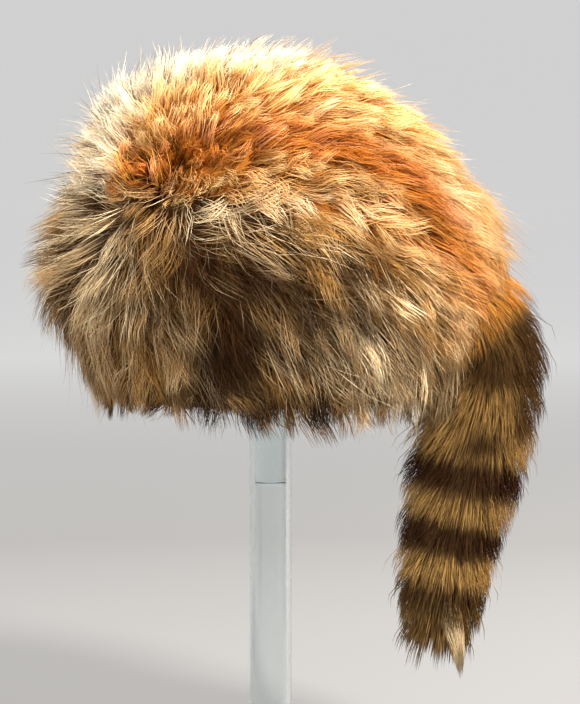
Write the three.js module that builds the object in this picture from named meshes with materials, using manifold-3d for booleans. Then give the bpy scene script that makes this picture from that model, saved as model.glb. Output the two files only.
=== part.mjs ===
// A fur cap with a ringed tail, standing on a clear tube with a round foot.
// Millimetres, +Z up. The origin is the middle of the foot's underside. The cap's front faces -X,
// and its tail hangs at the back, at +X. The tube stands on the Z axis.
import * as THREE from "three";
import { mergeVertices } from "three/addons/utils/BufferGeometryUtils.js";
import Module from "manifold-3d";

const wasm = await Module();
wasm.setup();

// Driving dimensions of the leather cap, measured on its outside
const FRONT_REACH = 99;
const BACK_REACH = 104;
const HALF_WIDTH = 86;
const RIM_HEIGHT = 228;
const WIDEST_HEIGHT = 290;
const TOP_HEIGHT = 400;
const TUCK_DEPTH = 131; // how far below the widest level the side wall would close
const ROUNDNESS = 2.2; // 2 is an ellipse, and more is boxier
const LEAN = -12; // how far the top leans towards the front
const LEATHER = 2.5;

// The crown is sewn to the side band along a seam that drops towards the tail
const SEAM_HEIGHT = 346;
const SEAM_DROP = 88;
const SEAM_SHARPNESS = 1.8;

// Fur
const PILE = [
  { height: 228, front: 10, side: 11, back: 11 },
  { height: 256, front: 19, side: 20, back: 20 },
  { height: 274, front: 33, side: 25, back: 32 },
  { height: 300, front: 43, side: 28, back: 42 },
  { height: 322, front: 35, side: 28, back: 37 },
  { height: 345, front: 31, side: 28, back: 30 },
  { height: 382, front: 38, side: 28, back: 28 },
  { height: 400, front: 31, side: 31, back: 31 },
];
const BACKING_SHARE = 0.64; // how much of the pile is dense underfur
const LOCK_ROOT_SHARE = 0.5; // how high in the pile a lock starts
const WHORL = { x: -61, y: 51, z: 358 }; // the hair lies away from one whorl on each side
const WHORL_BLEND = 20;
const CROWN_LOCKS = 124;
const BAND_LOCKS = 124;
const SEAM_LOCKS = 11; // along the front half of the seam
const LOCK_WIDTH = 27;
const LOCK_THICKNESS = 12;
const LOCK_TRAVEL = 50;
const FRINGE_DROP = 14; // how far the lowest locks hang below the rim at the sides
const FRINGE_DROP_ENDS = 8; // and at the front and back
const GOLDEN_ANGLE = Math.PI * (3 - Math.sqrt(5));

// The tail's fur, section by section from its root to its end
const TAIL = [
  { x: 90, z: 290, width: 40, depth: 40 },
  { x: 106, z: 288, width: 52, depth: 48 },
  { x: 124, z: 274, width: 66, depth: 58 },
  { x: 131, z: 249, width: 74, depth: 64 },
  { x: 129, z: 223, width: 74, depth: 64 },
  { x: 122, z: 196, width: 74, depth: 64 },
  { x: 115, z: 167, width: 75, depth: 64 },
  { x: 108, z: 136, width: 64, depth: 56 },
  { x: 105, z: 112, width: 60, depth: 52 },
  { x: 101, z: 84, width: 50, depth: 43 },
];
const TAIL_BACKING_SHARE = 0.74;
const TAIL_ROWS = 8;
const TAIL_LOCKS_IN_ROW = 5;
const TAIL_FIRST_ROW = 0.26;
const TAIL_LAST_ROW = 0.92;
const TAIL_LOCK_LENGTH = 36;
const TAIL_TIP = { x: 113, z: 53, width: 13 };

// The stand
const TUBE_RADIUS = 12.7;
const TUBE_WALL = 3;
const TUBE_SOCKET = 4; // how deep the tube sits in the foot
const FOOT_RADIUS = 75;
const FOOT_HEIGHT = 10;
const FOOT_BEVEL = 1.5;
const PAD_RADIUS = 46;
const PAD_HEIGHT = 370;
const PLUG_END = 171; // the lower end of the pad's stem, which shows inside the tube
const ROUND_SEGMENTS = 64;

const GAP = 0.3; // between neighbouring pieces
const COLUMNS = 28;
const CROWN_ROWS = 5;
const BAND_ROWS = 3;
const MERGE = 0.15;

const lerp = (a, b, t) => a + (b - a) * t;
const clamp = (v, low, high) => Math.min(high, Math.max(low, v));
const smooth = (t) => t * t * (3 - 2 * t);

// Solids from triangles

// A closed solid from a list of triangles, each of three points. Triangles with no area are left out.
function solidOf(triangles) {
  const kept = triangles.filter(([a, b, c]) => {
    const cross = new THREE.Vector3().crossVectors(
      new THREE.Vector3().subVectors(b, a),
      new THREE.Vector3().subVectors(c, a),
    );
    return cross.length() > 1e-6;
  });
  const positions = new Float32Array(kept.flat().flatMap((p) => [p.x, p.y, p.z]));
  const loose = new THREE.BufferGeometry().setAttribute(
    "position",
    new THREE.BufferAttribute(positions, 3),
  );
  return solidOfGeometry(loose);
}

function solidOfGeometry(geometry) {
  const bare = geometry.clone();
  bare.deleteAttribute("normal");
  bare.deleteAttribute("uv");
  const merged = mergeVertices(bare, 1e-4);
  return new wasm.Manifold(
    new wasm.Mesh({
      numProp: 3,
      vertProperties: merged.attributes.position.array,
      triVerts: new Uint32Array(merged.index.array),
    }),
  );
}

// The largest body of a solid, without the crumbs a cut leaves beside it
function mainBody(solid) {
  return solid.decompose().reduce((best, body) => (body.volume() > best.volume() ? body : best));
}

function geometryOf(solid) {
  const mesh = mainBody(solid.asOriginal().simplify(MERGE)).getMesh();
  return new THREE.BufferGeometry()
    .setAttribute("position", new THREE.BufferAttribute(new Float32Array(mesh.vertProperties), 3))
    .setIndex(new THREE.BufferAttribute(new Uint32Array(mesh.triVerts), 1));
}

// A ring of profiles round the Z axis, each a closed loop with the same number of points
function ringSolid(columns, profileAt) {
  const loops = Array.from({ length: columns }, (_, i) => profileAt((i / columns) * 2 * Math.PI));
  const triangles = [];
  loops.forEach((loop, i) => {
    const next = loops[(i + 1) % columns];
    loop.forEach((point, j) => {
      const k = (j + 1) % loop.length;
      triangles.push([point, next[j], next[k]], [point, next[k], loop[k]]);
    });
  });
  return solidOf(triangles);
}

// A solid through a row of closed sections, with a flat end or a single point at each end
function loftSolid(sections) {
  const triangles = [];
  for (let i = 0; i + 1 < sections.length; i++) {
    const [low, high] = [sections[i], sections[i + 1]];
    low.forEach((point, j) => {
      const k = (j + 1) % low.length;
      triangles.push([point, low[k], high[k]], [point, high[k], high[j]]);
    });
  }
  const first = sections[0];
  const last = sections[sections.length - 1];
  for (let j = 1; j + 1 < first.length; j++) {
    triangles.push([first[0], first[j + 1], first[j]], [last[0], last[j], last[j + 1]]);
  }
  return solidOf(triangles);
}

// The cap's form: an egg with different reaches to the front, back, sides, top and bottom

const leanAt = (z) => LEAN * clamp((z - WIDEST_HEIGHT) / (TOP_HEIGHT - WIDEST_HEIGHT), 0, 1.4) ** 2;

// A point as shares of the egg's reaches, where the leather lies at a size of 1
function sharesOf(point) {
  const x = point.x - leanAt(point.z);
  const rise = point.z - WIDEST_HEIGHT;
  return new THREE.Vector3(
    x / (x < 0 ? FRONT_REACH : BACK_REACH),
    point.y / HALF_WIDTH,
    rise / (rise < 0 ? TUCK_DEPTH : TOP_HEIGHT - WIDEST_HEIGHT),
  );
}

function sizeAt(point) {
  const s = sharesOf(point);
  return (Math.hypot(s.x, s.y) ** ROUNDNESS + Math.abs(s.z) ** ROUNDNESS) ** (1 / ROUNDNESS);
}

// Moves a point along the line from the egg's middle until it lies on the leather
function ontoLeather(point) {
  const middle = new THREE.Vector3(0, 0, WIDEST_HEIGHT);
  const ray = new THREE.Vector3().subVectors(point, middle);
  ray.x -= leanAt(point.z);
  const found = ray.divideScalar(sizeAt(point)).add(middle);
  found.x += leanAt(found.z);
  return found;
}

// The outward normal, from the slope of the size in each direction
function normalAt(point) {
  const step = 0.05;
  const slope = ["x", "y", "z"].map((axis) => {
    const ahead = point.clone();
    const behind = point.clone();
    ahead[axis] += step;
    behind[axis] -= step;
    return sizeAt(ahead) - sizeAt(behind);
  });
  return new THREE.Vector3(...slope).normalize();
}

// The rise angle of a height on the leather, from the rim to a quarter turn at the top
function riseOf(height) {
  const rise = height - WIDEST_HEIGHT;
  const share = Math.abs(rise) / (rise < 0 ? TUCK_DEPTH : TOP_HEIGHT - WIDEST_HEIGHT);
  return Math.sign(rise) * Math.asin(clamp(share, 0, 1) ** (ROUNDNESS / 2));
}

function leatherPoint(azimuth, rise) {
  const out = Math.cos(rise) ** (2 / ROUNDNESS);
  const up = Math.sign(rise) * Math.abs(Math.sin(rise)) ** (2 / ROUNDNESS);
  const z = WIDEST_HEIGHT + up * (up < 0 ? TUCK_DEPTH : TOP_HEIGHT - WIDEST_HEIGHT);
  const [c, s] = [Math.cos(azimuth), Math.sin(azimuth)];
  const reach = c < 0 ? FRONT_REACH : BACK_REACH;
  return new THREE.Vector3(leanAt(z) + out * c * reach, out * s * HALF_WIDTH, z);
}

function offsetPoint(azimuth, rise, offset) {
  const point = leatherPoint(azimuth, rise);
  const level = Math.PI / 2 - rise < 1e-6;
  const normal = level ? new THREE.Vector3(0, 0, 1) : normalAt(point);
  return point.addScaledVector(normal, offset);
}

const seamHeight = (azimuth) =>
  SEAM_HEIGHT - SEAM_DROP * Math.max(0, Math.cos(azimuth)) ** SEAM_SHARPNESS;

// How nearly a point lies straight ahead or straight behind, from 0 at the sides to 1
function endShare(point) {
  const s = sharesOf(point);
  return (s.x / Math.max(1e-6, Math.hypot(s.x, s.y))) ** 2;
}

// How deep the fur stands off the leather
function pileAt(point) {
  const above = PILE.findIndex((row) => row.height > point.z);
  const row = above < 0 ? PILE.length - 1 : Math.max(1, above);
  const [low, high] = [PILE[row - 1], PILE[row]];
  const t = clamp((point.z - low.height) / (high.height - low.height), 0, 1);
  const end = sharesOf(point).x < 0 ? "front" : "back";
  return lerp(lerp(low.side, high.side, t), lerp(low[end], high[end], t), endShare(point));
}

// The height that the tips of the fringe reach down to
const fringeAt = (point) =>
  RIM_HEIGHT - lerp(FRINGE_DROP, FRINGE_DROP_ENDS, endShare(point));

// A wall between two rise angles and two offsets from the leather. With no upper angle it closes
// over the top.
function formWall({ lower, upper, rows, inner, outer }) {
  return ringSolid(COLUMNS, (azimuth) => {
    const from = lower(azimuth);
    const to = upper ? upper(azimuth) : Math.PI / 2;
    const rises = Array.from({ length: rows + 1 }, (_, i) => lerp(from, to, i / rows));
    const side = (offset) =>
      rises.map((rise) => offsetPoint(azimuth, rise, offset(leatherPoint(azimuth, rise))));
    return [...side(outer), ...side(inner).reverse()];
  });
}

// Fur

// The way the hair lies at a point of the leather: away from the nearer whorl, and down
function lieAt(point) {
  const whorl = new THREE.Vector3(
    WHORL.x,
    WHORL.y * clamp(point.y / WHORL_BLEND, -1, 1),
    WHORL.z,
  );
  const away = new THREE.Vector3().subVectors(point, whorl);
  const weight = 0.75 * smooth(clamp((away.length() - 50) / 110, 0, 1));
  const way = away.normalize().add(new THREE.Vector3(0, 0, -weight));
  const normal = normalAt(point);
  return way.addScaledVector(normal, -way.dot(normal)).normalize();
}

// A lock is a three-sided blade with a flat root and a pointed tip. grow makes it larger all
// round, for cutting its room out of a neighbour.
function lockSolid(spine, width, thickness, grow = 0) {
  const last = spine.length - 1;
  const along = new THREE.Vector3().subVectors(spine[last].place, spine[0].place);
  const sections = spine.map(({ place, normal, way }, i) => {
    if (i === last) {
      const onward = new THREE.Vector3().subVectors(place, spine[i - 1].place).normalize();
      return Array(3).fill(place.clone().addScaledVector(onward, 8 * grow));
    }
    const t = i / last;
    const broad = (width / 2) * (0.7 + 1.1 * t - 1.3 * t * t) + 3 * grow;
    const across = new THREE.Vector3().crossVectors(normal, along).normalize();
    const up = new THREE.Vector3().crossVectors(way, across).normalize();
    const middle = place.clone().addScaledVector(way, i === 0 ? -2 * grow : 0);
    return [
      middle.clone().addScaledVector(across, broad).addScaledVector(up, -thickness / 2 - grow),
      middle.clone().addScaledVector(up, thickness * (0.5 - 0.3 * t) + 1.5 * grow),
      middle.clone().addScaledVector(across, -broad).addScaledVector(up, -thickness / 2 - grow),
    ];
  });
  return loftSolid(sections);
}

// Places along a lock that starts at a point of the leather and rises to the tips of the pile
function capSpine(root) {
  const steps = 2;
  const places = [];
  const uneven = 1 + 0.2 * Math.sin(0.7 * root.x + 0.9 * root.y);
  const travel = Math.min(LOCK_TRAVEL * uneven, 1.15 * uneven * (root.z - fringeAt(root)));
  let foot = root.clone();
  for (let i = 0; i <= steps; i++) {
    const t = i / steps;
    const normal = normalAt(foot);
    const height = pileAt(foot) * lerp(LOCK_ROOT_SHARE, 1, t);
    places.push({ place: foot.clone().addScaledVector(normal, height), normal });
    foot = ontoLeather(foot.clone().addScaledVector(lieAt(foot), travel / steps));
  }
  return places.map((spot, i) => {
    const from = places[Math.max(0, i - 1)].place;
    const to = places[Math.min(steps, i + 1)].place;
    return { ...spot, way: new THREE.Vector3().subVectors(to, from).normalize() };
  });
}

// Roots spread evenly over the egg by the golden angle, kept where a test holds
function spreadRoots(count, keep) {
  const roots = [];
  for (let i = 0; i < count; i++) {
    const up = 1 - (2 * (i + 0.5)) / count;
    const out = Math.sqrt(1 - up * up);
    const turn = i * GOLDEN_ANGLE;
    const point = new THREE.Vector3(
      out * Math.cos(turn) * BACK_REACH,
      out * Math.sin(turn) * HALF_WIDTH,
      WIDEST_HEIGHT + up * (TOP_HEIGHT - WIDEST_HEIGHT),
    );
    const root = ontoLeather(point);
    if (root.z > RIM_HEIGHT + 3 && keep(root)) roots.push(root);
  }
  return roots;
}

// Roots just above the seam, from one side round the front to the other
function seamRoots() {
  return Array.from({ length: SEAM_LOCKS }, (_, i) => {
    const azimuth = Math.PI * lerp(0.5, 1.5, i / (SEAM_LOCKS - 1));
    return leatherPoint(azimuth, riseOf(seamHeight(azimuth) + 6));
  });
}

function aboveSeam(point) {
  const s = sharesOf(point);
  return point.z - seamHeight(Math.atan2(s.y, s.x));
}

function furSolid({ lower, upper, rows, roots, grow }) {
  const backing = formWall({
    lower,
    upper,
    rows,
    inner: () => -LEATHER / 2,
    outer: (point) => pileAt(point) * BACKING_SHARE + grow,
  });
  const locks = roots.map((root) =>
    lockSolid(capSpine(root), LOCK_WIDTH, LOCK_THICKNESS, grow),
  );
  return wasm.Manifold.union([backing, ...locks]);
}

// The tail

const tailPath = new THREE.CatmullRomCurve3(TAIL.map((s) => new THREE.Vector3(s.x, 0, s.z)));

function tailSizeAt(t) {
  const place = clamp(t, 0, 1) * (TAIL.length - 1);
  const row = Math.min(TAIL.length - 2, Math.floor(place));
  const share = place - row;
  return {
    width: lerp(TAIL[row].width, TAIL[row + 1].width, share),
    depth: lerp(TAIL[row].depth, TAIL[row + 1].depth, share),
  };
}

// A point off the tail's middle line, at an angle round it and a share of its fur's depth
function tailPoint(t, turn, share, grow = 0) {
  const middle = tailPath.getPoint(t);
  const way = tailPath.getTangent(t);
  const sideways = new THREE.Vector3(0, 1, 0);
  const out = new THREE.Vector3().crossVectors(sideways, way).normalize();
  const size = tailSizeAt(t);
  const normal = out
    .clone()
    .multiplyScalar(Math.cos(turn) / size.width)
    .addScaledVector(sideways, Math.sin(turn) / size.depth)
    .normalize();
  const place = middle
    .addScaledVector(out, Math.cos(turn) * (size.width / 2) * share)
    .addScaledVector(sideways, Math.sin(turn) * (size.depth / 2) * share)
    .addScaledVector(normal, grow);
  return { place, normal, way };
}

function tailBacking(grow) {
  const around = 10;
  const along = 12;
  const sections = [];
  for (let i = 0; i <= along; i++) {
    const t = i / along;
    const section = [];
    for (let j = 0; j < around; j++) {
      const round = TAIL_BACKING_SHARE * (1 - 0.35 * Math.max(0, t - 0.85) ** 0.5);
      section.push(tailPoint(t, (j / around) * 2 * Math.PI, round, grow).place);
    }
    sections.push(section);
  }
  return loftSolid(sections);
}

function tailLock(t, turn, length, grow) {
  const steps = 2;
  const reach = length / tailPath.getLength();
  const spine = [];
  for (let i = 0; i <= steps; i++) {
    const share = i / steps;
    const at = t + reach * share;
    const spot = tailPoint(Math.min(1, at), turn, lerp(0.6, 1, share ** 0.7));
    const beyond = Math.max(0, at - 1) * tailPath.getLength();
    spot.place.addScaledVector(spot.way, beyond);
    spine.push(spot);
  }
  return lockSolid(spine, tailSizeAt(t).width * 0.46, 9, grow);
}

function tailTip(grow) {
  const end = tailPath.getPoint(0.93);
  const tip = new THREE.Vector3(TAIL_TIP.x, 0, TAIL_TIP.z);
  const way = new THREE.Vector3().subVectors(tip, end).normalize();
  const normal = new THREE.Vector3(0, -1, 0);
  const spine = [0, 0.5, 0.75, 1].map((t) => ({
    place: end.clone().lerp(tip, t),
    normal,
    way,
  }));
  return lockSolid(spine, TAIL_TIP.width, TAIL_TIP.width * 0.8, grow);
}

function tailSolid(grow) {
  const pieces = [tailBacking(grow), tailTip(grow)];
  for (let row = 0; row < TAIL_ROWS; row++) {
    const t = lerp(TAIL_FIRST_ROW, TAIL_LAST_ROW, row / (TAIL_ROWS - 1));
    for (let i = 0; i < TAIL_LOCKS_IN_ROW; i++) {
      const turn = ((i + (row % 2) / 2) / TAIL_LOCKS_IN_ROW) * 2 * Math.PI;
      const uneven = 1 + 0.18 * Math.sin(row * 2.3 + i * 1.7);
      pieces.push(tailLock(t, turn, TAIL_LOCK_LENGTH * uneven, grow));
    }
  }
  return wasm.Manifold.union(pieces);
}

// The cap's form filled in, with its surface an offset outside the leather
function filledForm(offset) {
  return ringSolid(COLUMNS, (azimuth) => {
    const levels = [
      { from: riseOf(RIM_HEIGHT), to: riseOf(seamHeight(azimuth)), rows: BAND_ROWS },
      { from: riseOf(seamHeight(azimuth)), to: Math.PI / 2, rows: CROWN_ROWS },
    ];
    const outside = levels.flatMap(({ from, to, rows }) =>
      Array.from({ length: rows }, (_, i) => offsetPoint(azimuth, lerp(from, to, i / rows), offset)),
    );
    outside.push(offsetPoint(azimuth, Math.PI / 2, offset));
    return [new THREE.Vector3(0, 0, outside[0].z), ...outside];
  });
}

// The stand

// A turned solid from a closed profile of [radius, height] pairs
function turned(profile) {
  const points = [...profile, profile[0]].map(([r, z]) => new THREE.Vector2(r, z));
  return solidOfGeometry(
    new THREE.LatheGeometry(points, ROUND_SEGMENTS).rotateX(Math.PI / 2),
  );
}

function tubeSolid() {
  const bottom = FOOT_HEIGHT - TUBE_SOCKET + GAP;
  const top = PAD_HEIGHT - GAP;
  const bore = TUBE_RADIUS - TUBE_WALL;
  return turned([
    [bore, bottom],
    [TUBE_RADIUS, bottom],
    [TUBE_RADIUS, top],
    [bore, top],
  ]);
}

function footSolid() {
  const socket = TUBE_RADIUS + GAP;
  return turned([
    [0, 0],
    [FOOT_RADIUS, 0],
    [FOOT_RADIUS, FOOT_HEIGHT - FOOT_BEVEL],
    [FOOT_RADIUS - FOOT_BEVEL, FOOT_HEIGHT],
    [socket, FOOT_HEIGHT],
    [socket, FOOT_HEIGHT - TUBE_SOCKET],
    [0, FOOT_HEIGHT - TUBE_SOCKET],
  ]);
}

// The pad follows the inside of the crown, and its stem plugs into the tube
function padSolid() {
  const stem = TUBE_RADIUS - TUBE_WALL - GAP;
  const blank = turned([
    [0, PLUG_END],
    [stem, PLUG_END],
    [stem, PAD_HEIGHT],
    [PAD_RADIUS, PAD_HEIGHT],
    [PAD_RADIUS, TOP_HEIGHT - LEATHER],
    [0, TOP_HEIGHT - LEATHER],
  ]);
  const crown = formWall({ ...crownSpan(0), inner: () => -LEATHER - GAP, outer: () => LEATHER });
  return blank.subtract(crown);
}

// Assembly

const rimRise = () => riseOf(RIM_HEIGHT);
const seamRise = (shift) => (azimuth) => riseOf(seamHeight(azimuth) + shift);
const leatherWall = (span) =>
  formWall({ ...span, inner: () => -LEATHER, outer: () => 0 });

const crownSpan = (grow) => ({ lower: seamRise(GAP / 2 - grow), upper: null, rows: CROWN_ROWS });
const bandSpan = (grow) => ({
  lower: rimRise,
  upper: seamRise(-GAP / 2 + grow),
  rows: BAND_ROWS,
});

const crownRoots = [...spreadRoots(CROWN_LOCKS, (root) => aboveSeam(root) > 8), ...seamRoots()];
const bandRoots = spreadRoots(BAND_LOCKS, (root) => aboveSeam(root) < 1);
const crownFur = (grow) => furSolid({ ...crownSpan(grow), roots: crownRoots, grow });
const bandFur = furSolid({ ...bandSpan(0), roots: bandRoots, grow: 0 });
const tailRoom = tailSolid(GAP);
const leatherRoom = filledForm(GAP);

const solids = {
  foot: footSolid(),
  tube: tubeSolid(),
  support_pad: padSolid(),
  crown_leather: leatherWall(crownSpan(0)),
  band_leather: leatherWall(bandSpan(0)),
  crown_fur: crownFur(0).subtract(tailRoom).subtract(leatherRoom),
  band_fur: bandFur.subtract(crownFur(GAP)).subtract(tailRoom).subtract(leatherRoom),
  tail: tailSolid(0).subtract(leatherRoom),
};

const acrylic = { color: 0xdfe6e6, roughness: 0.05, metalness: 0 };
const leather = { color: 0xc9ab84, roughness: 0.8, metalness: 0 };
const looks = {
  foot: acrylic,
  tube: acrylic,
  support_pad: acrylic,
  crown_leather: leather,
  band_leather: leather,
  crown_fur: { color: 0xd9984f, roughness: 0.75, metalness: 0 },
  band_fur: { color: 0xb0905f, roughness: 0.75, metalness: 0 },
  tail: { color: 0x8a6338, roughness: 0.75, metalness: 0 },
};

const cap = new THREE.Group();
const stand = new THREE.Group();
for (const [name, solid] of Object.entries(solids)) {
  const mesh = new THREE.Mesh(geometryOf(solid), new THREE.MeshStandardMaterial(looks[name]));
  mesh.name = name;
  (looks[name] === acrylic ? stand : cap).add(mesh);
}

const assembly = new THREE.Group();
assembly.add(stand, cap);

export default assembly;
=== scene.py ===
"""A coonskin cap on a clear stand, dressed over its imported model.

The cap's form, its fur's depth and the way its hair lies are worked out by the same rules as the
solids. Lengths inside the functions are millimetres, and meshes are written in metres.
"""

import math

import bpy
import numpy as np
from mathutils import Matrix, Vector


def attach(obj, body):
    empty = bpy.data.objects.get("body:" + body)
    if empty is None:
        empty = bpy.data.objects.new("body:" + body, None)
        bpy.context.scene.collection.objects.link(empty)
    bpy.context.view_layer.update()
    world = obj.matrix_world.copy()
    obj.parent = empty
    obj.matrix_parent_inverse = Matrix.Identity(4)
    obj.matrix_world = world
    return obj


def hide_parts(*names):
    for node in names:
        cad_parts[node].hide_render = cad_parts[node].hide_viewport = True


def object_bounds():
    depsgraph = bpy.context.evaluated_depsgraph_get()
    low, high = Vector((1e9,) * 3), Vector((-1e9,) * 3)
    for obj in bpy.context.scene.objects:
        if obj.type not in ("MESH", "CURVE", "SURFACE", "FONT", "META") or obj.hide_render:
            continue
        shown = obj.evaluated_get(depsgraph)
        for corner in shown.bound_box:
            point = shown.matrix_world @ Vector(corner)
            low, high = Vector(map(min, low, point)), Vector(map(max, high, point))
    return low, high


bl_info = {
    "name": "Coonskin Cap",
    "version": (1, 0, 0),
    "blender": (4, 5, 0),
    "location": "View3D > Sidebar > Cap",
    "description": "Builds a fur cap with a ringed tail on a clear display stand",
    "category": "Add Mesh",
}

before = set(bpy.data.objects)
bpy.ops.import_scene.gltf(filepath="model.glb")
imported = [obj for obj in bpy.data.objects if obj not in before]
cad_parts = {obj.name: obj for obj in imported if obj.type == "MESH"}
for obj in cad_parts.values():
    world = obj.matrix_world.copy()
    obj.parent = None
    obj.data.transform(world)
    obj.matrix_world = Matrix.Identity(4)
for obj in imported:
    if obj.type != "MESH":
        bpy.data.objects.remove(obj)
CAD_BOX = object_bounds()

MM = 0.001
GOLDEN_ANGLE = math.pi * (3 - math.sqrt(5))
AROUND = 96  # points round the cap's form and round each turned piece
NEAR_TOP = math.pi / 2 - 0.004  # the rise angle of the small ring that closes the top
STRAND_STEPS = 3  # lengths that a strand is made of
STRAND_SHARES = np.arange(STRAND_STEPS + 1) / STRAND_STEPS
STRANDS_MIDDLE = 250.0  # the height of the point that strands turn their sections away from

# The leather cap's form
FRONT_REACH, BACK_REACH, HALF_WIDTH = 99.0, 104.0, 86.0
RIM, WIDEST, TOP, TUCK = 228.0, 290.0, 400.0, 131.0
ROUNDNESS = 2.2
LEAN = -12.0
LEATHER = 2.5
UNDERFUR_GAP, UNDERFUR_LUMPS = 0.4, 0.05
SEAM_HEIGHT, SEAM_DROP, SEAM_SHARPNESS = 346.0, 88.0, 1.8
FRINGE, FRINGE_RISE = 216.0, 9.0

# The point on each side that hair lies away from. Within its reach, roots are added at so many times
# the coat's density
WHORL = np.array([-61.0, 51.0, 358.0])
WHORL_REACH, WHORL_FILL = 14.0, 3


def table(names, *rows):
    """Rows of numbers with named columns."""
    return np.array(list(rows), dtype=[(name, float) for name in names.split()])


# How deep the fur stands off the leather, by height
PILE = table(
    "height front side back",
    (228, 10, 11, 11),
    (256, 19, 20, 20),
    (274, 33, 25, 32),
    (300, 43, 28, 42),
    (322, 35, 28, 37),
    (345, 31, 28, 30),
    (382, 38, 28, 28),
    (400, 31, 31, 31),
)

# The tail's middle line and the outer size of its fur, from its root to its end
TAIL = table(
    "x z width depth",
    (90, 290, 40, 40),
    (106, 288, 52, 48),
    (124, 274, 66, 58),
    (131, 249, 74, 64),
    (129, 223, 74, 64),
    (122, 196, 74, 64),
    (115, 167, 75, 64),
    (108, 136, 64, 56),
    (105, 112, 60, 52),
    (101, 84, 50, 43),
)
TAIL_LENGTH = 270.0
TAIL_CORE, TAIL_ROOTS = 0.62, 0.6  # shares of the tail's section
TAIL_TUFTS, TAIL_PULL, TAIL_LOOSE, TAIL_FLYAWAY = 700, 0.32, 0.15, 0.03
TAIL_REACH = 0.085  # the share of the tail's length that a strand runs
TAIL_GIRTH = 0.6  # the share of the radius asked for

# Shares of the tail's length: past the first, strands fill its inside too, and between the others
# they come to be thicker and of one length
TAIL_FILLED, TAIL_EVEN = 0.93, (0.86, 0.95)

# The dark saddle on the tail: how high its middle is, and its reaches across and up
SADDLE_HEIGHT, SADDLE_ACROSS, SADDLE_UP = 199, 14, 10

# The pale lock at the tail's end, from its root to its tip
LOCK_ROOT = np.array([107.0, -12.0, 98.0])
LOCK_TIP = np.array([114.5, -15.0, 53.0])
LOCK_STRANDS, LOCK_SPREAD = 420, 7.5

# How dark and how pale the tail's fur is down its length
TAIL_RINGS = table(
    "height dark pale",
    (264, 0.45, 0.0),
    (254, 0.80, 0.0),
    (238, 0.85, 0.0),
    (231, 0.15, 0.3),
    (224, 0.00, 0.7),
    (190, 0.00, 0.6),
    (186, 1.00, 0.0),
    (169, 1.00, 0.0),
    (165, 0.00, 0.7),
    (153, 0.00, 0.7),
    (149, 1.00, 0.0),
    (132, 0.95, 0.0),
    (128, 0.00, 0.9),
    (114, 0.00, 0.9),
    (110, 0.85, 0.0),
    (98, 0.75, 0.0),
    (92, 0.55, 0.2),
    (78, 0.55, 0.1),
    (68, 0.85, 0.0),
)

# The side view that the colours are placed in: how far off the eye is and the height it looks at,
# then the cosine and the sine of the angle that it looks down by
EYE_DISTANCE, EYE_HEIGHT = 2200, 240
EYE_COSINE, EYE_SINE = 0.9925, 0.1219

# The rust streak along the crown, as seen from the side, from the front to the tail
RUST_REACH, RUST_FADE = 13, (98, 130)
RUST_STREAK = table(
    "x lift",
    (-100, 352),
    (-54, 370),
    (-6, 380),
    (42, 376),
    (80, 358),
    (105, 328),
    (122, 300),
    (136, 266),
)


def patches(*rows):
    """Soft oval patches of colour, as seen from the side."""
    return table("x lift reach_x reach_z strength", *rows)


# Pale patches on the crown, as seen from the side. The second, at the crown's back edge, is a painted
# highlight over the gold fur, where the light falls brightest
CROWN_PALE_AND_HIGHLIGHT = patches(
    (28, 338, 42, 14, 0.4),
    (108, 344, 18, 30, 0.4),
)
CROWN_DEEP = patches(
    (60, 301, 20, 15, 0.8),
    (-70, 360, 16, 9, 0.3),
)
# The band's dark patches, as seen from the side: dark fur deepened by painted shade. The last row, along
# the lower edge, is painted shade where the fringe falls in shadow
BAND_DARK_AND_SHADE = patches(
    (-20, 260, 17, 9, 1.5),
    (-27, 240, 26, 24, 1.35),
    (18, 246, 22, 15, 0.6),
    (-44, 298, 22, 18, 0.6),
    (46, 271, 36, 14, 0.95),
    (-54, 272, 24, 13, 0.55),
    (-14, 291, 40, 17, 1.3),
    (58, 297, 20, 13, 0.9),
    (-6, 213, 75, 13, 1.0),
)
BAND_WARM = patches(
    (-2, 211, 60, 15, 1.0),
    (-76, 240, 34, 28, 0.75),
    (-68, 312, 17, 30, 0.6),
    (100, 280, 26, 40, 1.0),
    (72, 302, 44, 26, 1.0),
    (40, 322, 30, 16, 0.8),
)
BAND_PALE = patches(
    (-34, 334, 40, 16, 1.5),
    (20, 308, 34, 7, 0.5),
    (60, 284, 34, 7, 0.4),
    (44, 256, 34, 8, 0.6),
    (-104, 312, 26, 48, 1.1),
    (74, 240, 44, 30, 0.7),
    (100, 288, 22, 26, 0.95),
    (-92, 258, 30, 26, 0.6),
)

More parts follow.
